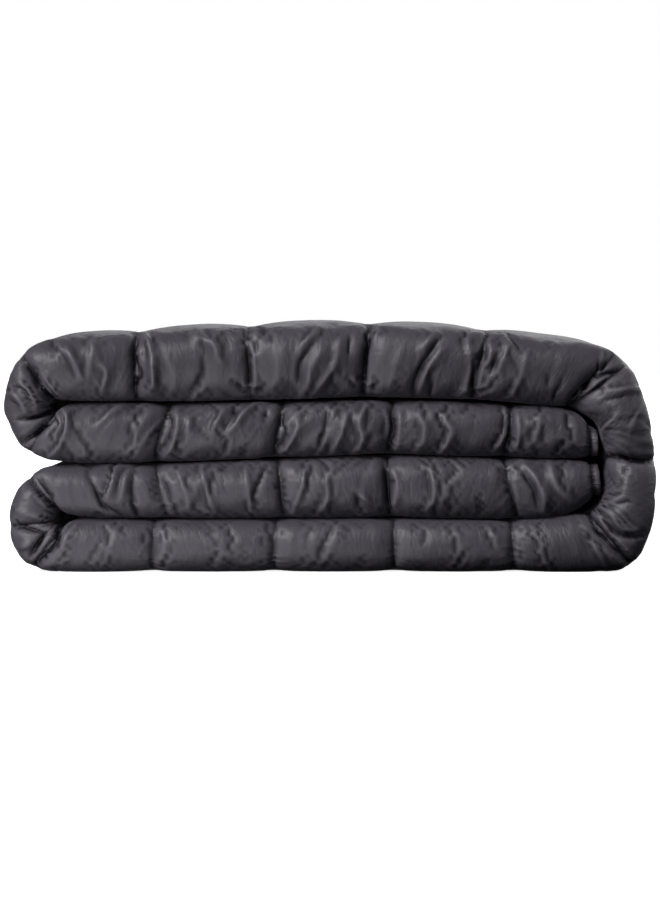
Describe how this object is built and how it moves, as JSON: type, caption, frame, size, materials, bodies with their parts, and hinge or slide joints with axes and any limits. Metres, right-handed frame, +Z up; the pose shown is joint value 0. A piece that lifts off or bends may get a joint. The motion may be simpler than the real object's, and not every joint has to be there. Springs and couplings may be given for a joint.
{
  "type": "bedspread",
  "caption": "Quilted, filled bedspread in charcoal satin, folded into a flat-lying pack with rounded turns; it covers a bed and adds warmth.",
  "frame": {"origin": "middle of the folded pack's footprint, on the surface that it lies on", "axes": "+X along the pack's length, to the right when the lengthwise fold faces the viewer; +Y from that fold towards the folded edges at the back; +Z up"},
  "size_m": [0.5696, 0.5294, 0.2184],
  "materials": {
    "charcoal_satin": "smooth satin weave, charcoal with a slight violet cast, soft sheen"
  },
  "bodies": {
    "root": {"bedspread": "charcoal_satin"}
  },
  "joints": []
}
